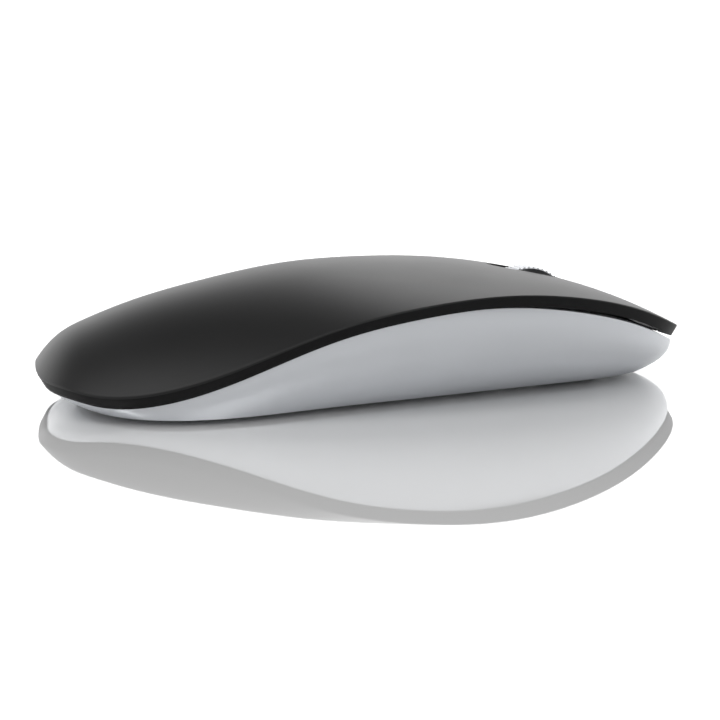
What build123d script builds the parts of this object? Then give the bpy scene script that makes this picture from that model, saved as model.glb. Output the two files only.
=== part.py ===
from build123d import *
from math import cos, pi, sin
import os

# Slim wireless computer mouse. Millimetres, +Z up, +Y to the front (the wheel end), +X to the
# right hand side. The origin is on the desk under the middle of the outline.

# ---- outline seen from above ----
LENGTH = 113.0
WIDTH = 58.4
WIDEST_Y = -6.0
OUTLINE_POWERS = (2.25, 2.9)
OUTLINE_POINTS = 72

# ---- top surface: heights at equal steps from the rear end to the front end ----
SPINE_HEIGHTS = (9.0, 14.8, 18.5, 20.9, 21.5, 20.9, 18.8, 14.8, 8.3)
SIDE_HEIGHTS = (-10.0, -0.8, 7.0, 13.2, 16.5, 17.6, 16.1, 11.7, 3.6)
TAIL_START_Y = -48.9
TAIL_DROP = 3.0
TAIL_POWER = 2.7
SIDE_X = 30.0
CROWN_POWER = 2.2
SKIN_HALF_WIDTH = 33.0
SKIN_HALF_LENGTH = 60.0
SKIN_STEPS_X = 22
SKIN_STEPS_Y = 40

# ---- cover ----
COVER_THICKNESS = 2.0
EDGE_LEAN = 0.55
SIDE_LOW_Z = -4.0
SIDE_HIGH_Z = 26.0
KEY_ROOT_Y = 6.0
KEY_GAP = 0.3
KEY_SPLIT_WIDTH = 0.6
KEY_CLEAR_ROOT = 0.15
KEY_CLEAR_FRONT = 1.3
WHEEL_WINDOW_WIDTH = 8.2
WHEEL_WINDOW_LENGTH = 16.0
KEY_POST_RADIUS = 1.6
PEG_RADIUS = 1.2
PEG_SPOTS = ((20.0, -10.0), (-20.0, -10.0), (17.0, -34.0), (-17.0, -34.0))

# ---- inner frame under the cover ----
FRAME_THICKNESS = 1.0
FRAME_INSET = 3.8
FRAME_SLOT_WIDTH = 11.2
FRAME_SLOT_LENGTH = 27.0
FRAME_POST_HOLE_RADIUS = 2.6

# ---- lower case ----
BASE_Z = 0.8
BASE_HALF_WIDTHS = (32.9, 30.3, 26.7, 22.4, 19.6, 17.0, 15.1, 13.8, 12.5)
BASE_FRONT_Y = 50.0
BASE_REAR_Y = -50.3
BASE_POWERS = (3.5, 2.7)
HULL_INSET = 1.2
HULL_WALL = 1.7
HULL_BULGE = 2.4
HULL_MIN_TOP = 5.0
HULL_OVERRUN = 0.1
HULL_LEVELS = (0.8, 1.5, 2.3, 3.4, 5.0, 7.5, 11.0, 14.5, 19.0)
FLOOR_TOP = 2.3
RIB_WIDTH = 16.0
RIB_THICKNESS = 1.0
RIB_HEIGHT = 3.2

# ---- circuit board ----
BOARD_BOTTOM = 5.0
BOARD_THICKNESS = 1.2
BOARD_TOP = BOARD_BOTTOM + BOARD_THICKNESS
BOARD_INSET = 0.6
BOARD_REAR_Y = -8.0
BOARD_FRONT_Y = 46.5
BOARD_SLOT = (8.6, 16.6)

# ---- scroll wheel ----
WHEEL_Y = 28.5
WHEEL_Z = 11.5
WHEEL_RADIUS = 8.0
WHEEL_WIDTH = 6.5
TREAD_WIDTH = 4.6
TREAD_INNER_RADIUS = 6.5
RIB_COUNT = 56
RIB_RADIUS = 0.22
FLANGE_RADIUS = 7.7
FLANGE_ROUND = 0.9
FIT_SLACK = 0.01
AXLE_RADIUS = 1.2
AXLE_LEFT_X = -8.2
AXLE_RIGHT_X = 5.6

# ---- wheel cradle ----
RAIL_INNER_X = 4.0
RAIL_OUTER_X = 5.2
RAIL_LOW_Z = 8.3
RAIL_HIGH_Z = 10.3
CRADLE_REAR_Y = 16.0
CRADLE_FRONT_Y = 41.0
CRADLE_Y = (CRADLE_REAR_Y + CRADLE_FRONT_Y) / 2
CRADLE_LENGTH = CRADLE_FRONT_Y - CRADLE_REAR_Y
CROSS_BAR_DEPTH = 3.6
EAR_LENGTH = 7.0
EAR_TOP = 13.6
BORE_CLEARANCE = 0.05
GUIDE_RADIUS = 1.2
GUIDE_TOP = 11.2
GUIDE_SPOTS = ((0.0, 17.6), (0.0, 39.2))
ARM_END_Y = 10.8
ARM_WIDTH = 4.0
ARM_HEIGHT = 1.5
SPRING_RADIUS = 1.9
SPRING_WIRE = 0.25
SPRING_TURNS = 3.5

# ---- switches ----
KEY_SWITCH_X = 13.3
KEY_SWITCH_Y = 28.0
KEY_SWITCH_SIZE = (5.8, 12.8, 6.0)
KEY_PLUNGER_Y = 30.5
KEY_PLUNGER_RADIUS = 0.7
KEY_PLUNGER_TOP = 12.9
MIDDLE_SWITCH_Y = 12.4
MIDDLE_SWITCH_SIZE = (6.0, 5.6, 3.5)
MIDDLE_PLUNGER_RADIUS = 1.5
MIDDLE_PLUNGER_TOP = 10.2
PLUNGER_SUNK = 1.2
PLUNGER_TRAVEL_ROOM = 0.7
PLUNGER_CLEARANCE = 0.05
TOUCH_GAP = 0.1

# ---- wheel encoder ----
DISC_X = -7.6
DISC_THICKNESS = 0.8
DISC_RADIUS = 3.4
DISC_SLOTS = 12
DISC_ROOM = (4.2, 8.4)
DISC_SLOT_RADIUS = 2.4
DISC_SLOT_LENGTH = 1.2
DISC_SLOT_WIDTH = 0.5
EMITTER_X = -6.25
RECEIVER_X = -9.0
EYE_SIZE = (1.3, 3.0, 3.5)

# ---- tracking optics ----
SENSOR_SIZE = (10.0, 10.0, 2.4)
SENSOR_NOSE_RADIUS = 3.0
LENS_FLANGE = (12.0, 13.0, 0.9)
LENS_BOTTOM = 1.2
LENS_TOP = 4.6
LENS_WELL = (8.4, 6.4)
APERTURE = (9.2, 7.2)
LED_Y = 7.1
LED_SIZE = (3.0, 3.0, 2.6)
LED_DOME_RADIUS = 1.1

# ---- power ----
CELL_SIZE = (24.0, 28.0, 5.4)
CELL_Y = -25.5
CELL_ROUND = 2.0
LEAD_RADIUS = 0.45
LEAD_SPREAD = 1.6
LEAD_START_X = -4.0
PLUG_SPOT = (-9.0, -4.6)
PLUG_SIZE = (5.0, 4.4, 3.2)
USB_WIDTH = 8.94
USB_HEIGHT = 3.16
USB_LENGTH = 7.2
USB_LOW_Z = 1.0
PORT_SPOT = (-11.0, 6.0)
USB_WALL = 0.3
USB_ROUND = 1.5
USB_BACK = 1.0
USB_TONGUE = (6.7, 0.7)
POWER_SPOT = (9.3, 2.5)
POWER_TRAVEL = 2.0
POWER_KNOB = (2.0, 3.0)
POWER_FLANGE = (3.6, 7.0, 0.65)
POWER_PIN_RADIUS = 0.5
POWER_HOUSING = (4.0, 8.0, 1.6)
POWER_KNOB_LOW = 1.0
POWER_TRACK_DEPTH = 1.2

# ---- fasteners ----
CASE_SCREW_SPOTS = ((12.5, 14.0), (-12.5, 14.0), (0.0, -45.0))
BOARD_SCREW_SPOTS = ((13.5, -3.5), (-14.5, -3.5))
SCREW_RADIUS = 0.95
SCREW_BORE = 0.97
HEAD_RADIUS = 1.9
HEAD_HEIGHT = 1.2
HEAD_SEAT = 2.8
CASE_SCREW_LENGTH = 6.0
BOARD_SCREW_LENGTH = 3.8
CASE_BOSS_RADIUS = 3.2
CASE_BOSS_TOP = 4.4
FRAME_BOSS_RADIUS = 2.6
BOARD_BOSS_RADIUS = 2.4
SHANK_HOLE_RADIUS = 1.15
DRIVE_RADIUS = 0.7
DRIVE_DEPTH = 0.7

# ---- feet and small electronics ----
FOOT_FRONT = (16.0, 6.0, 37.0)
FOOT_REAR = (24.0, 7.0, -45.0)
CHIP_SIZE = (7.0, 7.0, 1.0)
CHIP_SPOT = (12.0, 5.0)
CRYSTAL_SIZE = (3.2, 2.5, 0.8)
CRYSTAL_SPOT = (7.0, 12.0)
CAPACITOR_SIZE = (1.6, 0.8, 0.8)
CAPACITOR_SPOTS = ((6.6, 8.4), (6.6, 6.6), (17.5, 6.0), (17.5, 3.0), (-17.5, 6.0), (-17.5, 3.0))

HALF_LENGTH = LENGTH / 2
FRONT_REACH = HALF_LENGTH - WIDEST_Y
REAR_REACH = HALF_LENGTH + WIDEST_Y
HALF_WIDTH = WIDTH / 2
KNOT_STEP = LENGTH / (len(SPINE_HEIGHTS) - 1)


def curve_bends(heights):
    """Second derivatives at the knots of the smooth curve through equally spaced heights."""
    bends = [0.0] * len(heights)
    for _ in range(40):
        for i in range(1, len(heights) - 1):
            change = heights[i - 1] - 2 * heights[i] + heights[i + 1]
            bends[i] = (6 * change / KNOT_STEP ** 2 - bends[i - 1] - bends[i + 1]) / 4
    return bends


SPINE_BENDS = curve_bends(SPINE_HEIGHTS)
SIDE_BENDS = curve_bends(SIDE_HEIGHTS)
BASE_BENDS = curve_bends(BASE_HALF_WIDTHS)


def curve_height(heights, bends, y):
    """Height of the smooth curve at y, running on straight past both ends."""
    inside = min(max(y, -HALF_LENGTH), HALF_LENGTH)
    i = min(int((inside + HALF_LENGTH) / KNOT_STEP), len(heights) - 2)
    a = (inside + HALF_LENGTH) / KNOT_STEP - i
    b = 1 - a
    straight = b * heights[i] + a * heights[i + 1]
    bent = ((b ** 3 - b) * bends[i] + (a ** 3 - a) * bends[i + 1]) * KNOT_STEP ** 2 / 6
    slope = (heights[i + 1] - heights[i]) / KNOT_STEP
    slope += ((3 * a * a - 1) * bends[i + 1] - (3 * b * b - 1) * bends[i]) * KNOT_STEP / 6
    return straight + bent + slope * (y - inside)


def crown(x, y):
    """Height of the cover's top surface, falling away faster at the rear tip."""
    spine = curve_height(SPINE_HEIGHTS, SPINE_BENDS, y)
    side = curve_height(SIDE_HEIGHTS, SIDE_BENDS, y)
    tail = max((TAIL_START_Y - y) / (TAIL_START_Y + HALF_LENGTH), 0)
    return spine - (spine - side) * (abs(x) / SIDE_X) ** CROWN_POWER - TAIL_DROP * tail ** TAIL_POWER


def key_clearance(y):
    """Room under the cover, growing from the key roots to the front edge."""
    share = min(max((y - KEY_ROOT_Y) / (HALF_LENGTH - KEY_ROOT_Y), 0), 1)
    return KEY_CLEAR_ROOT + (KEY_CLEAR_FRONT - KEY_CLEAR_ROOT) * share


def frame_top(x, y):
    """Top of the inner frame and of the lower case round it."""
    return crown(x, y) - COVER_THICKNESS - key_clearance(y)


def skin(height_of):
    """Surface z = height_of(x, y) over a rectangle wider and longer than the mouse."""
    rows = []
    for i in range(SKIN_STEPS_X + 1):
        x = SKIN_HALF_WIDTH * (2 * i / SKIN_STEPS_X - 1)
        row = []
        for j in range(SKIN_STEPS_Y + 1):
            y = SKIN_HALF_LENGTH * (2 * j / SKIN_STEPS_Y - 1)
            row.append(Vector(x, y, height_of(x, y)))
        rows.append(row)
    return Face.make_surface_from_array_of_points(rows, tol=0.01)


def oval_point(angle, half_width, reaches, powers):
    """Point of an oval squared off to the front and to the rear; angle 0 is the front end."""
    along = cos(angle)
    across = sin(angle)
    power = powers[0] if along > 0 else powers[1]
    reach = reaches[0] if along > 0 else reaches[1]
    size = (abs(along) ** power + abs(across) ** power) ** (-1 / power)
    return half_width * size * across, WIDEST_Y + reach * size * along


def outline_point(angle, inset=0.0):
    """Point of the cover's outline."""
    reaches = (FRONT_REACH - inset, REAR_REACH - inset)
    return oval_point(angle, HALF_WIDTH - inset, reaches, OUTLINE_POWERS)


def base_point(angle, inset=0.0):
    """Point of the underside's outline, which narrows towards the front."""
    reaches = (BASE_FRONT_Y - WIDEST_Y - inset, WIDEST_Y - BASE_REAR_Y - inset)
    across, y = oval_point(angle, 1.0, reaches, BASE_POWERS)
    return across * (curve_height(BASE_HALF_WIDTHS, BASE_BENDS, y) - inset), y


def edge_point(angle, z):
    """Cover edge: the outline at the rim, leaning inwards below it and outwards above it."""
    rim_z = crown(*outline_point(angle))
    return outline_point(angle, EDGE_LEAN * (rim_z - z))


def hull_point(angle, z, inset=0.0):
    """Side of the lower case: the base outline swelling out to the outline under the cover."""
    base_x, base_y = base_point(angle, inset)
    top_x, top_y = outline_point(angle, HULL_INSET + inset)
    top_z = max(frame_top(*outline_point(angle, HULL_INSET)), HULL_MIN_TOP)
    rise = (z - BASE_Z) / (top_z - BASE_Z)
    share = 1 - (1 - rise) ** HULL_BULGE if rise < 1 else 1 + HULL_OVERRUN * (rise - 1)
    return base_x + (top_x - base_x) * share, base_y + (top_y - base_y) * share


def closed_outline(point_at):
    """Points round one level, starting at the front end."""
    return [point_at(2 * pi * i / OUTLINE_POINTS) for i in range(OUTLINE_POINTS)]


def post(spot, radius, low, high, mode=Mode.ADD):
    """Upright round post or hole between two heights."""
    with BuildSketch(Plane.XY.offset(low)) as ring:
        with Locations(spot):
            Circle(radius)
    extrude(ring.sketch, amount=high - low, mode=mode)


def block(spot, size, low, mode=Mode.ADD):
    """Upright block with its foot at the height low."""
    with BuildSketch(Plane.XY.offset(low)) as foot:
        with Locations(spot):
            Rectangle(size[0], size[1])
    extrude(foot.sketch, amount=size[2], mode=mode)


def level_outline(level, point_at):
    """Face inside the closed smooth outline on one level."""
    with BuildSketch(Plane.XY.offset(level)) as outline:
        with BuildLine():
            Spline(*closed_outline(point_at), periodic=True)
        make_face()
    return outline.sketch


def hull_section(level, inset=0.0):
    return level_outline(level, lambda angle: hull_point(angle, level, inset))


def save(builder, name):
    """Write one sub-part under its own name."""
    builder.part.label = name
    export_step(builder.part, f"parts/{name}.step")


os.makedirs("parts", exist_ok=True)
cover_skin = skin(crown)
frame_skin = skin(frame_top)

# ---- blank for the cover and the two keys ----
with BuildPart() as cover_blank:
    low_side = level_outline(SIDE_LOW_Z, lambda angle: edge_point(angle, SIDE_LOW_Z))
    high_side = level_outline(SIDE_HIGH_Z, lambda angle: edge_point(angle, SIDE_HIGH_Z))
    loft([low_side, high_side], ruled=True)
    extrude(cover_skin, amount=COVER_THICKNESS, dir=(0, 0, -1), mode=Mode.INTERSECT)

# ---- palm cover ----
with BuildPart() as palm_cover:
    add(cover_blank.part)
    with Locations((0, KEY_ROOT_Y - KEY_GAP / 2, 0)):
        Box(2 * WIDTH, 2 * LENGTH, 2 * WIDTH, align=(Align.CENTER, Align.MAX, Align.CENTER),
            mode=Mode.INTERSECT)
    for spot in PEG_SPOTS:
        underside = crown(*spot) - COVER_THICKNESS
        peg_length = KEY_CLEAR_ROOT + FRAME_THICKNESS
        post(spot, PEG_RADIUS, underside - peg_length, underside + COVER_THICKNESS / 4)
save(palm_cover, "palm_cover")

# ---- left and right keys ----
for name, side in (("left_button", -1), ("right_button", 1)):
    with BuildPart() as key:
        add(cover_blank.part)
        near = Align.MAX if side < 0 else Align.MIN
        with Locations((side * KEY_SPLIT_WIDTH / 2, KEY_ROOT_Y + KEY_GAP / 2, 0)):
            Box(WIDTH, LENGTH, 2 * WIDTH, align=(near, Align.MIN, Align.CENTER), mode=Mode.INTERSECT)
        with BuildSketch(Plane.XY):
            with Locations((0, WHEEL_Y)):
                SlotOverall(WHEEL_WINDOW_LENGTH, WHEEL_WINDOW_WIDTH, rotation=90)
        extrude(amount=SIDE_HIGH_Z, mode=Mode.SUBTRACT)
        post_spot = (side * KEY_SWITCH_X, KEY_PLUNGER_Y)
        post(post_spot, KEY_POST_RADIUS, KEY_PLUNGER_TOP + TOUCH_GAP,
             crown(*post_spot) - COVER_THICKNESS / 2)
    save(key, name)

# ---- inner frame ----
with BuildPart() as frame_sheet:
    extrude(level_outline(0, lambda angle: outline_point(angle, FRAME_INSET)), amount=SIDE_HIGH_Z)
    extrude(frame_skin, amount=FRAME_THICKNESS, dir=(0, 0, -1), mode=Mode.INTERSECT)

with BuildPart() as top_frame:
    for spot in CASE_SCREW_SPOTS:
        post(spot, FRAME_BOSS_RADIUS, CASE_BOSS_TOP + TOUCH_GAP, SIDE_HIGH_Z)
    extrude(frame_skin, amount=2 * SIDE_HIGH_Z, dir=(0, 0, -1), mode=Mode.INTERSECT)
    add(frame_sheet.part)
    for spot in CASE_SCREW_SPOTS:
        post(spot, SCREW_BORE, 0, HEAD_SEAT + CASE_SCREW_LENGTH + FRAME_THICKNESS / 2, Mode.SUBTRACT)
    for spot in PEG_SPOTS:
        post(spot, PEG_RADIUS + BORE_CLEARANCE, 0, SIDE_HIGH_Z, Mode.SUBTRACT)
    for side in (-1, 1):
        post((side * KEY_SWITCH_X, KEY_PLUNGER_Y), FRAME_POST_HOLE_RADIUS, 0, SIDE_HIGH_Z,
             Mode.SUBTRACT)
    block((0, WHEEL_Y), (FRAME_SLOT_WIDTH, FRAME_SLOT_LENGTH, SIDE_HIGH_Z), 0, Mode.SUBTRACT)
    block((DISC_X, WHEEL_Y), (DISC_ROOM[0], DISC_ROOM[1], SIDE_HIGH_Z), 0, Mode.SUBTRACT)
save(top_frame, "top_frame")

# ---- lower case ----
with BuildPart() as cavity:
    loft([hull_section(level, HULL_WALL) for level in HULL_LEVELS if level >= FLOOR_TOP])

with BuildPart() as lower_case:
    loft([hull_section(level) for level in HULL_LEVELS])
    extrude(frame_skin, amount=2 * SIDE_HIGH_Z, dir=(0, 0, -1), mode=Mode.INTERSECT)
    add(cavity.part, mode=Mode.SUBTRACT)
    for spot in CASE_SCREW_SPOTS:
        post(spot, CASE_BOSS_RADIUS, BASE_Z, CASE_BOSS_TOP)
        post(spot, HEAD_RADIUS + 2 * TOUCH_GAP, 0, HEAD_SEAT, Mode.SUBTRACT)
        post(spot, SHANK_HOLE_RADIUS, 0, CASE_BOSS_TOP, Mode.SUBTRACT)
    for spot in BOARD_SCREW_SPOTS:
        post(spot, BOARD_BOSS_RADIUS, BASE_Z, BOARD_BOTTOM)
        post(spot, SCREW_BORE, FLOOR_TOP, BOARD_BOTTOM, Mode.SUBTRACT)
    for spot in GUIDE_SPOTS:
        post(spot, GUIDE_RADIUS, BASE_Z, GUIDE_TOP)
    for end in (-1, 1):
        rib_y = CELL_Y + end * (CELL_SIZE[1] / 2 + RIB_THICKNESS)
        block((0, rib_y), (RIB_WIDTH, RIB_THICKNESS, RIB_HEIGHT), BASE_Z)
    block((0, 0), (APERTURE[0], APERTURE[1], FLOOR_TOP), 0, Mode.SUBTRACT)
    slot_y = POWER_SPOT[1] + POWER_TRAVEL / 2
    slot_size = (POWER_KNOB[0] + 0.5, POWER_KNOB[1] + POWER_TRAVEL + 0.6, FLOOR_TOP)
    block((POWER_SPOT[0], slot_y), slot_size, 0, Mode.SUBTRACT)
    block(PORT_SPOT, (USB_WIDTH + 0.4, USB_HEIGHT + 0.4, FLOOR_TOP), 0, Mode.SUBTRACT)
save(lower_case, "lower_case")

# ---- feet ----
for name, foot in (("front_foot", FOOT_FRONT), ("rear_foot", FOOT_REAR)):
    with BuildPart() as pad:
        with BuildSketch(Plane.XY):
            with Locations((0, foot[2])):
                SlotOverall(foot[0], foot[1])
        extrude(amount=BASE_Z)
    save(pad, name)

# ---- circuit board ----
with BuildPart() as main_pcb:
    extrude(hull_section(BOARD_BOTTOM, HULL_WALL + BOARD_INSET), amount=BOARD_THICKNESS)
    with Locations((0, BOARD_REAR_Y, BOARD_BOTTOM)):
        Box(2 * WIDTH, BOARD_FRONT_Y - BOARD_REAR_Y, SIDE_HIGH_Z,
            align=(Align.CENTER, Align.MIN, Align.CENTER), mode=Mode.INTERSECT)
    block(PORT_SPOT, (USB_WIDTH + 0.6, USB_HEIGHT + 0.6, SIDE_HIGH_Z), 0, Mode.SUBTRACT)
    block((0, WHEEL_Y), (BOARD_SLOT[0], BOARD_SLOT[1], SIDE_HIGH_Z), 0, Mode.SUBTRACT)
    for spot in BOARD_SCREW_SPOTS:
        post(spot, SHANK_HOLE_RADIUS, 0, SIDE_HIGH_Z, Mode.SUBTRACT)
    for spot in CASE_SCREW_SPOTS[:2]:
        post(spot, FRAME_BOSS_RADIUS + 0.5, 0, SIDE_HIGH_Z, Mode.SUBTRACT)
    for spot in GUIDE_SPOTS:
        post(spot, GUIDE_RADIUS + 0.4, 0, SIDE_HIGH_Z, Mode.SUBTRACT)
    post((0, 0), SENSOR_NOSE_RADIUS + 0.4, 0, SIDE_HIGH_Z, Mode.SUBTRACT)
save(main_pcb, "main_pcb")

with BuildPart() as mcu_chip:
    block(CHIP_SPOT, CHIP_SIZE, BOARD_TOP)
save(mcu_chip, "mcu_chip")

with BuildPart() as crystal:
    block(CRYSTAL_SPOT, CRYSTAL_SIZE, BOARD_TOP)
save(crystal, "crystal")

with BuildPart() as capacitors:
    for spot in CAPACITOR_SPOTS:
        block(spot, CAPACITOR_SIZE, BOARD_TOP)
save(capacitors, "capacitors")

# ---- tracking optics ----
with BuildPart() as sensor_lens:
    block((0, 0), LENS_FLANGE, FLOOR_TOP)
    block((0, 0), (LENS_WELL[0], LENS_WELL[1], FLOOR_TOP - LENS_BOTTOM), LENS_BOTTOM)
    post((0, 0), SENSOR_NOSE_RADIUS, FLOOR_TOP, LENS_TOP)
save(sensor_lens, "sensor_lens")

with BuildPart() as optical_sensor:
    block((0, 0), SENSOR_SIZE, BOARD_TOP)
    post((0, 0), SENSOR_NOSE_RADIUS, LENS_TOP + 2 * TOUCH_GAP, BOARD_TOP)
save(optical_sensor, "optical_sensor")

with BuildPart() as tracking_led:
    block((0, LED_Y), LED_SIZE, BOARD_TOP)
    post((0, LED_Y), LED_DOME_RADIUS, BOARD_TOP, BOARD_TOP + LED_SIZE[2] + LED_DOME_RADIUS / 2)
save(tracking_led, "tracking_led")

# ---- switches ----
for name, side in (("left", -1), ("right", 1)):
    spot = (side * KEY_SWITCH_X, KEY_PLUNGER_Y)
    housing_top = BOARD_TOP + KEY_SWITCH_SIZE[2]
    with BuildPart() as housing:
        block((side * KEY_SWITCH_X, KEY_SWITCH_Y), KEY_SWITCH_SIZE, BOARD_TOP)
        post(spot, KEY_PLUNGER_RADIUS + PLUNGER_CLEARANCE,
             housing_top - PLUNGER_SUNK - PLUNGER_TRAVEL_ROOM, housing_top, Mode.SUBTRACT)
    save(housing, f"{name}_switch")
    with BuildPart() as plunger:
        post(spot, KEY_PLUNGER_RADIUS, housing_top - PLUNGER_SUNK, KEY_PLUNGER_TOP)
    save(plunger, f"{name}_plunger")

middle_spot = (0, MIDDLE_SWITCH_Y)
middle_top = BOARD_TOP + MIDDLE_SWITCH_SIZE[2]
with BuildPart() as middle_switch:
    block(middle_spot, MIDDLE_SWITCH_SIZE, BOARD_TOP)
    post(middle_spot, MIDDLE_PLUNGER_RADIUS + PLUNGER_CLEARANCE,
         middle_top - PLUNGER_SUNK - PLUNGER_TRAVEL_ROOM, middle_top, Mode.SUBTRACT)
save(middle_switch, "middle_switch")

with BuildPart() as middle_plunger:
    post(middle_spot, MIDDLE_PLUNGER_RADIUS, middle_top - PLUNGER_SUNK, MIDDLE_PLUNGER_TOP)
save(middle_plunger, "middle_plunger")

# ---- wheel cradle ----
with BuildPart() as wheel_cradle:
    for side in (-1, 1):
        rail_x = side * (RAIL_INNER_X + RAIL_OUTER_X) / 2
        rail_width = RAIL_OUTER_X - RAIL_INNER_X
        block((rail_x, CRADLE_Y), (rail_width, CRADLE_LENGTH, RAIL_HIGH_Z - RAIL_LOW_Z), RAIL_LOW_Z)
        block((rail_x, WHEEL_Y), (rail_width, EAR_LENGTH, EAR_TOP - RAIL_LOW_Z), RAIL_LOW_Z)
    for bar_y in (CRADLE_REAR_Y + CROSS_BAR_DEPTH / 2, CRADLE_FRONT_Y - CROSS_BAR_DEPTH / 2):
        block((0, bar_y), (2 * RAIL_OUTER_X, CROSS_BAR_DEPTH, RAIL_HIGH_Z - RAIL_LOW_Z), RAIL_LOW_Z)
    with Locations((0, ARM_END_Y, RAIL_HIGH_Z)):
        Box(ARM_WIDTH, CRADLE_REAR_Y + CROSS_BAR_DEPTH - ARM_END_Y, ARM_HEIGHT,
            align=(Align.CENTER, Align.MIN, Align.MIN))
    for spot in GUIDE_SPOTS:
        post(spot, GUIDE_RADIUS + BORE_CLEARANCE, 0, SIDE_HIGH_Z, Mode.SUBTRACT)
    with Locations((0, WHEEL_Y, WHEEL_Z)):
        Cylinder(AXLE_RADIUS + BORE_CLEARANCE, WIDTH, rotation=(0, 90, 0), mode=Mode.SUBTRACT)
save(wheel_cradle, "wheel_cradle")

with BuildPart() as wheel_springs:
    for spot in GUIDE_SPOTS:
        start = Vector(spot[0], spot[1], BOARD_TOP + SPRING_WIRE)
        rise = RAIL_LOW_Z - TOUCH_GAP - BOARD_TOP - 2 * SPRING_WIRE
        with BuildLine():
            coil = Helix(rise / SPRING_TURNS, rise, SPRING_RADIUS, center=start)
        with BuildSketch(Plane(origin=coil @ 0, z_dir=coil % 0)):
            Circle(SPRING_WIRE)
        sweep(path=coil)
save(wheel_springs, "wheel_springs")

# ---- wheel ----
WHEEL_CENTRE = (0, WHEEL_Y, WHEEL_Z)
wheel_plane = Plane(origin=WHEEL_CENTRE, x_dir=(1, 0, 0), z_dir=(0, 0, 1))
wheel_axis = Axis(WHEEL_CENTRE, (1, 0, 0))


def wheel_post(radius, low_x, high_x, mode=Mode.ADD):
    """Round bar along the wheel axis between two x positions."""
    with BuildSketch(Plane(origin=(low_x, WHEEL_Y, WHEEL_Z), z_dir=(1, 0, 0))) as ring:
        Circle(radius)
    extrude(ring.sketch, amount=high_x - low_x, mode=mode)


with BuildPart() as wheel_core:
    edge = WHEEL_WIDTH / 2
    seat = TREAD_WIDTH / 2
    with BuildSketch(wheel_plane):
        with BuildLine():
            Polyline((-edge, 0), (-edge, FLANGE_RADIUS - FLANGE_ROUND),
                     (-edge + FLANGE_ROUND, FLANGE_RADIUS), (-seat, FLANGE_RADIUS),
                     (-seat, TREAD_INNER_RADIUS), (seat, TREAD_INNER_RADIUS),
                     (seat, FLANGE_RADIUS), (edge - FLANGE_ROUND, FLANGE_RADIUS),
                     (edge, FLANGE_RADIUS - FLANGE_ROUND), (edge, 0), close=True)
        make_face()
    revolve(axis=wheel_axis)
    wheel_post(AXLE_RADIUS + FIT_SLACK, -WHEEL_WIDTH, WHEEL_WIDTH, Mode.SUBTRACT)
save(wheel_core, "wheel_core")

with BuildPart() as wheel_tread:
    tread_edge = TREAD_WIDTH / 2 - FIT_SLACK
    with BuildSketch(Plane(origin=(-tread_edge, WHEEL_Y, WHEEL_Z), z_dir=(1, 0, 0))):
        Circle(WHEEL_RADIUS - RIB_RADIUS)
        with PolarLocations(WHEEL_RADIUS - RIB_RADIUS, RIB_COUNT):
            Circle(RIB_RADIUS)
        Circle(TREAD_INNER_RADIUS + FIT_SLACK, mode=Mode.SUBTRACT)
    extrude(amount=2 * tread_edge)
save(wheel_tread, "wheel_tread")

with BuildPart() as wheel_axle:
    wheel_post(AXLE_RADIUS, AXLE_LEFT_X, AXLE_RIGHT_X)
save(wheel_axle, "wheel_axle")

with BuildPart() as encoder_disc:
    disc_low = DISC_X - DISC_THICKNESS / 2
    with BuildSketch(Plane(origin=(disc_low, WHEEL_Y, WHEEL_Z), z_dir=(1, 0, 0))):
        Circle(DISC_RADIUS)
        Circle(AXLE_RADIUS + FIT_SLACK, mode=Mode.SUBTRACT)
        with PolarLocations(DISC_SLOT_RADIUS, DISC_SLOTS):
            SlotOverall(DISC_SLOT_LENGTH, DISC_SLOT_WIDTH, mode=Mode.SUBTRACT)
    extrude(amount=DISC_THICKNESS)
save(encoder_disc, "encoder_disc")

with BuildPart() as encoder_emitter:
    block((EMITTER_X, WHEEL_Y), EYE_SIZE, BOARD_TOP)
save(encoder_emitter, "encoder_emitter")

with BuildPart() as encoder_receiver:
    block((RECEIVER_X, WHEEL_Y), EYE_SIZE, BOARD_TOP)
save(encoder_receiver, "encoder_receiver")

# ---- battery and its lead ----
with BuildPart() as battery_cell:
    with BuildSketch(Plane.XY.offset(FLOOR_TOP)):
        with Locations((0, CELL_Y)):
            RectangleRounded(CELL_SIZE[0], CELL_SIZE[1], CELL_ROUND)
    extrude(amount=CELL_SIZE[2])
    fillet(battery_cell.faces().sort_by(Axis.Z)[-1].edges(), CELL_ROUND)
save(battery_cell, "battery_cell")

with BuildPart() as battery_plug:
    block(PLUG_SPOT, PLUG_SIZE, BOARD_TOP)
save(battery_plug, "battery_plug")

with BuildPart() as battery_leads:
    for side in (-1, 1):
        start = Vector(LEAD_START_X + side * LEAD_SPREAD / 2, CELL_Y + CELL_SIZE[1] / 2,
                       FLOOR_TOP + CELL_SIZE[2] / 2)
        end = Vector(PLUG_SPOT[0] + side * LEAD_SPREAD / 2, PLUG_SPOT[1] - PLUG_SIZE[1] / 2,
                     BOARD_TOP + PLUG_SIZE[2] / 2)
        with BuildLine():
            lead = Spline(start, end, tangents=(Vector(0, 1, 0), Vector(0, 1, 0)))
        with BuildSketch(Plane(origin=start, z_dir=(0, 1, 0))):
            Circle(LEAD_RADIUS)
        sweep(path=lead)
save(battery_leads, "battery_leads")

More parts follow.
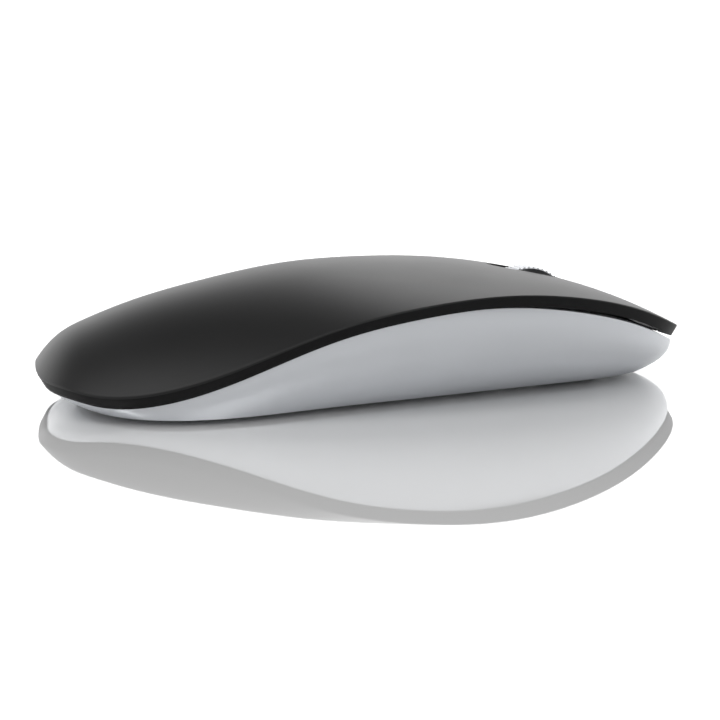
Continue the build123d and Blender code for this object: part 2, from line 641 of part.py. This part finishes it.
# ---- charging socket ----
with BuildPart() as usb_c_socket:
    with BuildSketch(Plane.XY.offset(USB_LOW_Z)):
        with Locations(PORT_SPOT):
            RectangleRounded(USB_WIDTH, USB_HEIGHT, USB_ROUND)
    extrude(amount=USB_LENGTH)
    with BuildSketch(Plane.XY.offset(USB_LOW_Z)):
        with Locations(PORT_SPOT):
            RectangleRounded(USB_WIDTH - 2 * USB_WALL, USB_HEIGHT - 2 * USB_WALL, USB_ROUND - USB_WALL)
    extrude(amount=USB_LENGTH - USB_BACK, mode=Mode.SUBTRACT)
    block(PORT_SPOT, (USB_TONGUE[0], USB_TONGUE[1], USB_LENGTH - USB_BACK), USB_LOW_Z + USB_BACK)
save(usb_c_socket, "usb_c_socket")

# ---- power switch ----
with BuildPart() as power_switch:
    housing_low = BOARD_BOTTOM - POWER_HOUSING[2]
    block((POWER_SPOT[0], POWER_SPOT[1] + POWER_TRAVEL / 2), POWER_HOUSING, housing_low)
    track = (2 * POWER_PIN_RADIUS + 0.4, 2 * POWER_PIN_RADIUS + POWER_TRAVEL + 0.4, POWER_TRACK_DEPTH)
    block((POWER_SPOT[0], POWER_SPOT[1] + POWER_TRAVEL / 2), track, housing_low, Mode.SUBTRACT)
save(power_switch, "power_switch")

with BuildPart() as power_slider:
    flange_low = FLOOR_TOP + BORE_CLEARANCE
    block(POWER_SPOT, POWER_FLANGE, flange_low)
    block(POWER_SPOT, (POWER_KNOB[0], POWER_KNOB[1], flange_low - POWER_KNOB_LOW), POWER_KNOB_LOW)
    post(POWER_SPOT, POWER_PIN_RADIUS, flange_low, housing_low + POWER_TRACK_DEPTH - 2 * TOUCH_GAP)
save(power_slider, "power_slider")

# ---- screws ----
with BuildPart() as case_screws:
    for spot in CASE_SCREW_SPOTS:
        post(spot, HEAD_RADIUS, HEAD_SEAT - HEAD_HEIGHT, HEAD_SEAT)
        post(spot, SCREW_RADIUS, HEAD_SEAT, HEAD_SEAT + CASE_SCREW_LENGTH)
        post(spot, DRIVE_RADIUS, 0, HEAD_SEAT - HEAD_HEIGHT + DRIVE_DEPTH, Mode.SUBTRACT)
save(case_screws, "case_screws")

with BuildPart() as board_screws:
    for spot in BOARD_SCREW_SPOTS:
        post(spot, HEAD_RADIUS, BOARD_TOP, BOARD_TOP + HEAD_HEIGHT)
        post(spot, SCREW_RADIUS, BOARD_TOP - BOARD_SCREW_LENGTH, BOARD_TOP)
        post(spot, DRIVE_RADIUS, BOARD_TOP + HEAD_HEIGHT - DRIVE_DEPTH, SIDE_HIGH_Z, Mode.SUBTRACT)
save(board_screws, "board_screws")
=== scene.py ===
from math import cos, pi, radians, sin, sqrt

import bmesh
import bpy
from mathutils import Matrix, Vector


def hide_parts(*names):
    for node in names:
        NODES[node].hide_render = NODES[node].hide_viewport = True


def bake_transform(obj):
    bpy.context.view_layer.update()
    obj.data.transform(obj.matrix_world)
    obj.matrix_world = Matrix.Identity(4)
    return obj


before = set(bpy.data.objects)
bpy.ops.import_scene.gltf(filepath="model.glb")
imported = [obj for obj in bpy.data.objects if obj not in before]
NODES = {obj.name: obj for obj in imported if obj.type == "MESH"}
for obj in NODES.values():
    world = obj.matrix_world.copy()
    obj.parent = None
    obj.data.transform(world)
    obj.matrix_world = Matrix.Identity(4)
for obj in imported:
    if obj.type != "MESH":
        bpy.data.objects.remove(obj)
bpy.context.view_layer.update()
MM = 0.001

# ---- shape of the cover, in millimetres, as in the CAD but for the wheel window and slit ----
# The window's middle is 1 mm further forward than in the CAD, and the slit is a little narrower.
LENGTH = 113.0
WIDTH = 58.4
WIDEST_Y = -6.0
OUTLINE_POWERS = (2.25, 2.9)
SPINE_HEIGHTS = (9.0, 14.8, 18.5, 20.9, 21.5, 20.9, 18.8, 14.8, 8.3)
SIDE_HEIGHTS = (-10.0, -0.8, 7.0, 13.2, 16.5, 17.6, 16.1, 11.7, 3.6)
TAIL_START_Y = -48.9
TAIL_DROP = 3.0
TAIL_POWER = 2.7
SIDE_X = 30.0
CROWN_POWER = 2.2
COVER_THICKNESS = 2.0
EDGE_LEAN = 0.55
KEY_ROOT_Y = 6.0
WINDOW_Y = 29.5
WINDOW_RADIUS = 4.1
WINDOW_LENGTH = 16.0
SPLIT_HALF_WIDTH = 0.22
RIM_ROUND = 0.35
LIP_ROUND = 0.2

HALF_LENGTH = LENGTH / 2
FRONT_REACH = HALF_LENGTH - WIDEST_Y
REAR_REACH = HALF_LENGTH + WIDEST_Y
HALF_WIDTH = WIDTH / 2
KNOT_STEP = LENGTH / (len(SPINE_HEIGHTS) - 1)


def curve_bends(heights):
    """Second derivatives at the knots of the smooth curve through equally spaced heights."""
    bends = [0.0] * len(heights)
    for _ in range(40):
        for i in range(1, len(heights) - 1):
            change = heights[i - 1] - 2 * heights[i] + heights[i + 1]
            bends[i] = (6 * change / KNOT_STEP ** 2 - bends[i - 1] - bends[i + 1]) / 4
    return bends


SPINE_BENDS = curve_bends(SPINE_HEIGHTS)
SIDE_BENDS = curve_bends(SIDE_HEIGHTS)


def curve_height(heights, bends, y):
    """Height of the smooth curve at y, running on straight past both ends."""
    inside = min(max(y, -HALF_LENGTH), HALF_LENGTH)
    i = min(int((inside + HALF_LENGTH) / KNOT_STEP), len(heights) - 2)
    a = (inside + HALF_LENGTH) / KNOT_STEP - i
    b = 1 - a
    straight = b * heights[i] + a * heights[i + 1]
    bent = ((b ** 3 - b) * bends[i] + (a ** 3 - a) * bends[i + 1]) * KNOT_STEP ** 2 / 6
    slope = (heights[i + 1] - heights[i]) / KNOT_STEP
    slope += ((3 * a * a - 1) * bends[i + 1] - (3 * b * b - 1) * bends[i]) * KNOT_STEP / 6
    return straight + bent + slope * (y - inside)


def crown(x, y):
    """Height of the cover's top surface, falling away faster at the rear tip."""
    spine = curve_height(SPINE_HEIGHTS, SPINE_BENDS, y)
    side = curve_height(SIDE_HEIGHTS, SIDE_BENDS, y)
    tail = max((TAIL_START_Y - y) / (TAIL_START_Y + HALF_LENGTH), 0)
    return spine - (spine - side) * (abs(x) / SIDE_X) ** CROWN_POWER - TAIL_DROP * tail ** TAIL_POWER


def outline_point(angle, inset=0.0):
    """Point of the outline seen from above; angle 0 is the front end."""
    along = cos(angle)
    across = sin(angle)
    power = OUTLINE_POWERS[0] if along > 0 else OUTLINE_POWERS[1]
    reach = (FRONT_REACH if along > 0 else REAR_REACH) - inset
    size = (abs(along) ** power + abs(across) ** power) ** (-1 / power)
    return (HALF_WIDTH - inset) * size * abs(across), WIDEST_Y + reach * size * along


# ---- materials ----
NOISE_LOW = 0.3
NOISE_HIGH = 0.7
PATCH_SCALE = 90.0
BUMP_STRENGTH = 0.6


def noise(tree, coordinates, scale, detail):
    """Noise texture on the object's own coordinates, scale in waves per metre."""
    texture = tree.nodes.new("ShaderNodeTexNoise")
    texture.inputs["Scale"].default_value = scale
    texture.inputs["Detail"].default_value = detail
    tree.links.new(coordinates, texture.inputs["Vector"])
    return texture.outputs["Fac"]


def remap(tree, value, low, high):
    """Spread of a 0 to 1 value between two numbers."""
    node = tree.nodes.new("ShaderNodeMapRange")
    node.inputs["From Min"].default_value = NOISE_LOW
    node.inputs["From Max"].default_value = NOISE_HIGH
    node.inputs["To Min"].default_value = low
    node.inputs["To Max"].default_value = high
    tree.links.new(value, node.inputs["Value"])
    return node.outputs["Result"]


def material(name, color, roughness, metallic=0.0, grain=3000.0, grain_depth=0.00002, spread=0.06,
             shade=0.12, coat=0.0, specular=0.5, transmission=0.0, ior=1.5):
    """Moulded or metal surface: fine grain in the bump, slow patches in the roughness and colour."""
    made = bpy.data.materials.new(name)
    made.use_nodes = True
    tree = made.node_tree
    shader = tree.nodes["Principled BSDF"]
    shader.inputs["Metallic"].default_value = metallic
    shader.inputs["Coat Weight"].default_value = coat
    shader.inputs["Specular IOR Level"].default_value = specular
    shader.inputs["Transmission Weight"].default_value = transmission
    shader.inputs["IOR"].default_value = ior
    place = tree.nodes.new("ShaderNodeTexCoord").outputs["Object"]
    fine = noise(tree, place, grain, 3.0)
    slow = noise(tree, place, PATCH_SCALE, 4.0)
    tree.links.new(remap(tree, slow, roughness - spread, roughness + spread), shader.inputs["Roughness"])
    mix = tree.nodes.new("ShaderNodeMix")
    mix.data_type = "RGBA"
    mix.inputs["A"].default_value = (*[c * (1 - shade) for c in color], 1)
    mix.inputs["B"].default_value = (*[min(c * (1 + shade), 1) for c in color], 1)
    tree.links.new(slow, mix.inputs["Factor"])
    tree.links.new(mix.outputs["Result"], shader.inputs["Base Color"])
    bump = tree.nodes.new("ShaderNodeBump")
    bump.inputs["Strength"].default_value = BUMP_STRENGTH
    bump.inputs["Distance"].default_value = grain_depth
    tree.links.new(fine, bump.inputs["Height"])
    tree.links.new(bump.outputs["Normal"], shader.inputs["Normal"])
    return made


SOFT_BLACK = material("soft_black", (0.005, 0.005, 0.0053), 0.42, grain=9000, grain_depth=0.000006,
                      specular=0.3, spread=0.01)
EDGE_BLACK = material("edge_black", (0.005, 0.005, 0.0053), 0.5, grain=9000, grain_depth=0.000006,
                      specular=0.12)
BLACK_PLASTIC = material("black_plastic", (0.01, 0.01, 0.01), 0.5)
SILVER = material("silver_paint", (0.66, 0.68, 0.71), 0.36, metallic=0.35, grain=14000,
                  grain_depth=0.000004, spread=0.03, shade=0.03, coat=0.15)
FOOT = material("foot_film", (0.05, 0.05, 0.055), 0.35)
BOARD = material("board_green", (0.01, 0.09, 0.035), 0.35, grain=1500)
CHIP = material("chip_black", (0.015, 0.015, 0.015), 0.6)
BRIGHT = material("bright_metal", (0.75, 0.75, 0.76), 0.22, metallic=1.0, grain=5000)
CERAMIC = material("ceramic_tan", (0.42, 0.3, 0.18), 0.5)
CLEAR = material("clear_lens", (0.9, 0.92, 0.95), 0.05, spread=0.02, transmission=0.9, ior=1.49)
LED_RED = material("led_red", (0.55, 0.03, 0.02), 0.15, transmission=0.4)
WHITE = material("switch_white", (0.75, 0.75, 0.72), 0.45)
STEEL = material("spring_steel", (0.55, 0.55, 0.57), 0.3, metallic=1.0, grain=6000)
WHEEL_BLACK = material("wheel_black", (0.012, 0.012, 0.013), 0.35)
TREAD = material("tread_silver", (0.66, 0.67, 0.69), 0.3, metallic=1.0, grain=8000)
CELL = material("cell_wrap", (0.55, 0.56, 0.6), 0.3, metallic=0.8)
LEAD = material("lead_red", (0.3, 0.01, 0.01), 0.5)
SCREW = material("screw_steel", (0.32, 0.32, 0.34), 0.35, metallic=1.0)

NODE_MATERIALS = {
    "palm_cover": SOFT_BLACK, "left_button": SOFT_BLACK, "right_button": SOFT_BLACK,
    "top_frame": BLACK_PLASTIC, "wheel_cradle": BLACK_PLASTIC, "encoder_disc": BLACK_PLASTIC,
    "power_slider": BLACK_PLASTIC, "lower_case": SILVER, "front_foot": FOOT, "rear_foot": FOOT,
    "main_pcb": BOARD, "mcu_chip": CHIP, "optical_sensor": CHIP, "left_switch": CHIP,
    "right_switch": CHIP, "middle_switch": CHIP, "encoder_receiver": CHIP, "power_switch": CHIP,
    "crystal": BRIGHT, "usb_c_socket": BRIGHT, "capacitors": CERAMIC, "sensor_lens": CLEAR,
    "encoder_emitter": CLEAR, "tracking_led": LED_RED, "left_plunger": WHITE,
    "right_plunger": WHITE, "middle_plunger": WHITE, "battery_plug": WHITE,
    "wheel_springs": STEEL, "wheel_axle": STEEL, "wheel_core": WHEEL_BLACK, "wheel_tread": TREAD,
    "battery_cell": CELL, "battery_leads": LEAD, "case_screws": SCREW, "board_screws": SCREW,
}
for node_name, look in NODE_MATERIALS.items():
    node = NODES[node_name]
    node.data.materials.clear()
    node.data.materials.append(look)


# ---- cover: two halves that meet on the centre line ----
PLAIN_ROWS = 220
WINDOW_END_ROWS = 12
LEAST_ROW_ANGLE = 0.004
TOP_COLUMNS = 56
UNDER_COLUMNS = 10
ROUND_STEPS = 4
COLUMN_CROWDING = 1.4
SHARP_ANGLE = radians(40)
SLOPE_STEP = 0.05


def half_circle_rows(centre, radius, count, side):
    """y values that follow a half circle evenly, for the round ends of the wheel window."""
    return [centre + side * radius * sin(pi / 2 * i / count) for i in range(count + 1)]


def inner_x(y):
    """Where a half begins: on the centre line, at the wheel window, or at the slit before it."""
    half = WINDOW_LENGTH / 2 - WINDOW_RADIUS
    past = abs(y - WINDOW_Y) - half
    edge = SPLIT_HALF_WIDTH if y > WINDOW_Y else 0.0
    if past <= 0:
        return WINDOW_RADIUS
    if past < WINDOW_RADIUS:
        return max(sqrt(WINDOW_RADIUS ** 2 - past ** 2), edge)
    return edge


def angle_at(y, inset=0.0):
    """Outline angle whose point lies at y."""
    low, high = 0.0, pi
    for _ in range(50):
        middle = (low + high) / 2
        if outline_point(middle, inset)[1] > y:
            low = middle
        else:
            high = middle
    return (low + high) / 2


def row_angles():
    """Outline angles of the rows, closer together round the wheel window's ends."""
    plain = [pi * (i + 0.5) / PLAIN_ROWS for i in range(PLAIN_ROWS)]
    half = WINDOW_LENGTH / 2 - WINDOW_RADIUS
    ends = half_circle_rows(WINDOW_Y + half, WINDOW_RADIUS, WINDOW_END_ROWS, 1)
    ends += half_circle_rows(WINDOW_Y - half, WINDOW_RADIUS, WINDOW_END_ROWS, -1)
    extra = [angle_at(y) for y in ends]
    kept = [a for a in plain if all(abs(a - b) > LEAST_ROW_ANGLE for b in extra)]
    return sorted(kept + extra)


def cover_ring(angle, side):
    """Closed cross-section of one cover half: top, rounded rim, edge band, lip and underside."""
    rim_x, rim_y = outline_point(angle)
    low_x, low_y = outline_point(angle, EDGE_LEAN * COVER_THICKNESS)
    rim = Vector((rim_x, rim_y, crown(rim_x, rim_y)))
    low = Vector((low_x, low_y, rim.z - COVER_THICKNESS))
    start_x = min(inner_x(rim_y), rim_x * 0.5)
    ring = []
    last_x = max(rim_x - RIM_ROUND, (start_x + rim_x) / 2)
    for i in range(TOP_COLUMNS):
        share = i / (TOP_COLUMNS - 1)
        x = start_x + (last_x - start_x) * (1 - (1 - share) ** COLUMN_CROWDING)
        ring.append(Vector((x, rim_y, crown(x, rim_y))))
    on_top = ring[-1].copy()
    down = (low - rim).normalized()
    on_band = rim + down * RIM_ROUND
    for i in range(1, ROUND_STEPS + 1):
        t = i / ROUND_STEPS
        ring.append((1 - t) ** 2 * on_top + 2 * t * (1 - t) * rim + t * t * on_band)
    for i in (1, 2):
        ring.append(on_band.lerp(low - down * LIP_ROUND, i / 3))
    inner_low_x = min(inner_x(low_y), low_x * 0.5)
    under_first = Vector((max(low_x - LIP_ROUND, inner_low_x), low_y, 0))
    under_first.z = crown(under_first.x, low_y) - COVER_THICKNESS
    lip_start = low - down * LIP_ROUND
    for i in range(ROUND_STEPS + 1):
        t = i / ROUND_STEPS
        ring.append((1 - t) ** 2 * lip_start + 2 * t * (1 - t) * low + t * t * under_first)
    for i in range(1, UNDER_COLUMNS + 1):
        x = under_first.x + (inner_low_x - under_first.x) * i / UNDER_COLUMNS
        ring.append(Vector((x, low_y, crown(x, low_y) - COVER_THICKNESS)))
    return [Vector((side * p.x, p.y, p.z)) * MM for p in ring]


def cover_half(name, side):
    """Mesh of one cover half, closed all round."""
    mesh = bpy.data.meshes.new(name)
    work = bmesh.new()
    band_start = TOP_COLUMNS + ROUND_STEPS - 2
    band_end = band_start + ROUND_STEPS + 3
    rings = []
    for angle in row_angles():
        rings.append([work.verts.new(p) for p in cover_ring(angle, side)])
    count = len(rings[0])
    for ring, following in zip(rings, rings[1:]):
        for i in range(count):
            j = (i + 1) % count
            corners = (ring[i], ring[j], following[j], following[i])
            face = work.faces.new(corners if side > 0 else corners[::-1])
            face.material_index = int(band_start <= i < band_end)
    for ring, flip in ((rings[0], side > 0), (rings[-1], side < 0)):
        work.faces.new(ring[::-1] if flip else ring)
    bmesh.ops.recalc_face_normals(work, faces=work.faces)
    for face in work.faces:
        face.smooth = True
    for edge in work.edges:
        if len(edge.link_faces) == 2 and edge.calc_face_angle() > SHARP_ANGLE:
            edge.smooth = False
    work.to_mesh(mesh)
    work.free()
    half = bpy.data.objects.new(name, mesh)
    bpy.context.scene.collection.objects.link(half)
    mesh.materials.append(SOFT_BLACK)
    mesh.materials.append(EDGE_BLACK)
    normals = [(0.0, 0.0, 0.0)] * len(mesh.vertices)
    for i in range(len(normals) // count):
        vertex = mesh.vertices[i * count]
        if abs(vertex.co.x) < 1e-6:
            y = vertex.co.y / MM
            rise = crown(0, y + SLOPE_STEP) - crown(0, y - SLOPE_STEP)
            normals[i * count] = Vector((0, -rise, 2 * SLOPE_STEP)).normalized()
    mesh.normals_split_custom_set_from_vertices(normals)
    return half


for name, side, key in (("cover_left", -1, "left_key"), ("cover_right", 1, "right_key")):
    half = cover_half(name, side)
    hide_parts("palm_cover", key.replace("key", "button"))
    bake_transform(half)

# ---- smooth shading on the CAD pieces ----
for node_name in NODE_MATERIALS:
    node = NODES[node_name]
    for face in node.data.polygons:
        face.use_smooth = True
    node.data.set_sharp_from_angle(angle=radians(30))

# ---- floor ----
floor_mesh = bpy.data.meshes.new("floor")
work = bmesh.new()
bmesh.ops.create_grid(work, x_segments=1, y_segments=1, size=6.0)
work.to_mesh(floor_mesh)
work.free()
floor = bpy.data.objects.new("floor", floor_mesh)
bpy.context.scene.collection.objects.link(floor)
floor_look = bpy.data.materials.new("floor_gloss")
floor_look.use_nodes = True
floor_shader = floor_look.node_tree.nodes["Principled BSDF"]
floor_shader.inputs["Base Color"].default_value = (0.94, 0.94, 0.94, 1)
floor_shader.inputs["Metallic"].default_value = 0.35
floor_shader.inputs["Roughness"].default_value = 0.02
floor_shader.inputs["Specular IOR Level"].default_value = 0.9
floor_mesh.materials.append(floor_look)

# ---- light ----
SKY_STRENGTH = 1.7
OVERHEAD_STOPS = ((0.0, 1.0), (0.4, 0.9), (0.6, 0.25), (0.85, 0.08), (1.0, 0.05))
TOWARDS_CAMERA_STOPS = ((0.0, 1.0), (0.5, 0.9), (0.72, 0.55), (1.0, 0.4))


def grey_ramp(tree, value, stops):
    """Grey that follows a value through the given stops."""
    ramp = tree.nodes.new("ShaderNodeValToRGB")
    elements = ramp.color_ramp.elements
    while len(elements) < len(stops):
        elements.new(0.5)
    for element, (position, grey) in zip(elements, stops):
        element.position = position
        element.color = (grey, grey, grey, 1)
    tree.links.new(value, ramp.inputs["Fac"])
    return ramp.outputs["Color"]


def arithmetic(tree, operation, a, b):
    """Result of a two-sided operation; each side is a socket or a number."""
    node = tree.nodes.new("ShaderNodeMath")
    node.operation = operation
    for socket, value in zip(node.inputs, (a, b)):
        if isinstance(value, float):
            socket.default_value = value
        else:
            tree.links.new(value, socket)
    return node.outputs["Value"]


world = bpy.data.worlds.new("studio")
bpy.context.scene.world = world
world.use_nodes = True
sky = world.node_tree
direction = sky.nodes.new("ShaderNodeTexCoord").outputs["Generated"]
parts = sky.nodes.new("ShaderNodeSeparateXYZ")
sky.links.new(direction, parts.inputs["Vector"])
height = grey_ramp(sky, parts.outputs["Z"], OVERHEAD_STOPS)
half_x = arithmetic(sky, "MULTIPLY_ADD", parts.outputs["X"], 0.5)
half_x.node.inputs[2].default_value = 0.5
front = grey_ramp(sky, half_x, TOWARDS_CAMERA_STOPS)
glow = arithmetic(sky, "MULTIPLY", height, front)
sky.links.new(glow, sky.nodes["Background"].inputs["Color"])
sky.nodes["Background"].inputs["Strength"].default_value = SKY_STRENGTH


def area_light(name, place, aim, size, power):
    lamp = bpy.data.lights.new(name, "AREA")
    lamp.shape = "RECTANGLE"
    lamp.size, lamp.size_y = size
    lamp.energy = power
    holder = bpy.data.objects.new(name, lamp)
    bpy.context.scene.collection.objects.link(holder)
    holder.location = place
    holder.rotation_euler = (Vector(aim) - Vector(place)).to_track_quat("-Z", "Y").to_euler()


area_light("ceiling", (0.45, 0.0, 1.1), (0, 0, 0), (0.6, 0.9), 4.5)
area_light("front_softbox", (-0.75, 0.4, 0.85), (0, 0, 0), (0.6, 0.6), 2.8)
area_light("rear_softbox", (0.1, -0.65, 1.0), (0, 0, 0), (0.4, 0.4), 2.8)

# ---- camera ----
AZIMUTH = radians(74.73)
ELEVATION = radians(8.96)
AIM = Vector((0, 0, 0.010))
DISTANCE = 0.2074
camera_data = bpy.data.cameras.new("camera")
camera_data.sensor_width = 36
camera_data.lens = 59.5
camera_data.shift_x = -0.0148
camera_data.shift_y = -0.0493
camera_data.clip_start = 0.01
camera = bpy.data.objects.new("camera", camera_data)
bpy.context.scene.collection.objects.link(camera)
back = Vector((sin(AZIMUTH) * cos(ELEVATION), -cos(AZIMUTH) * cos(ELEVATION), sin(ELEVATION)))
camera.location = AIM + back * DISTANCE
camera.rotation_euler = (-back).to_track_quat("-Z", "Y").to_euler()
bpy.context.scene.camera = camera
bpy.context.scene.view_settings.view_transform = "Standard"
